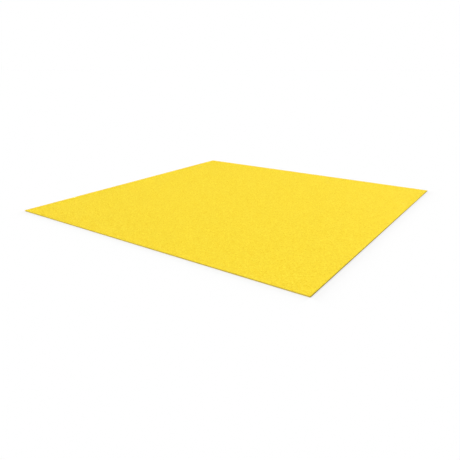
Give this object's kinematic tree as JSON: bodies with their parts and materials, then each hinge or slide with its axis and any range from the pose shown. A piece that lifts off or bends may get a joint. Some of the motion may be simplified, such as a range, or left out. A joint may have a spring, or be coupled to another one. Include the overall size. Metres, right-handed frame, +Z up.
{
  "type": "fibreglass anti-slip floor plate",
  "caption": "Thin flat square sheet of yellow glass-reinforced plastic with a gritted upper face and plain sawn edges, laid or bonded on a floor to stop feet slipping.",
  "frame": {"origin": "middle of the underside, on the floor that the plate lies on", "axes": "+Z up out of the gritted face; X and Y along the sawn sides"},
  "size_m": [1, 1, 0.004],
  "materials": {
    "yellow_grp": "matte"
  },
  "bodies": {
    "root": {"floor_plate": "yellow_grp"}
  },
  "joints": []
}
